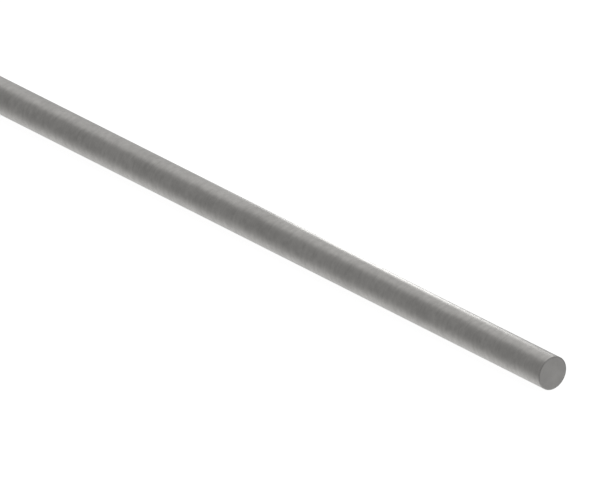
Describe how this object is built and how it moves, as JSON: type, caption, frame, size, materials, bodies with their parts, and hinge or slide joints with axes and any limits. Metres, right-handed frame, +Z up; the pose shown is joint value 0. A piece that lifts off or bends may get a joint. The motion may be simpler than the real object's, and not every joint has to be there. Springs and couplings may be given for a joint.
{
  "type": "round metal bar",
  "caption": "Straight solid round bar of satin bright steel, cut square at both ends with a light edge break.",
  "frame": {"origin": "on the floor under the bar's mid-length, below its lowest line", "axes": "+X along the bar, +Z up, +Y level and square to the bar"},
  "size_m": [1, 0.025, 0.025],
  "materials": {
    "bright_steel": "satin"
  },
  "bodies": {
    "root": {"round_bar": "bright_steel"}
  },
  "joints": []
}
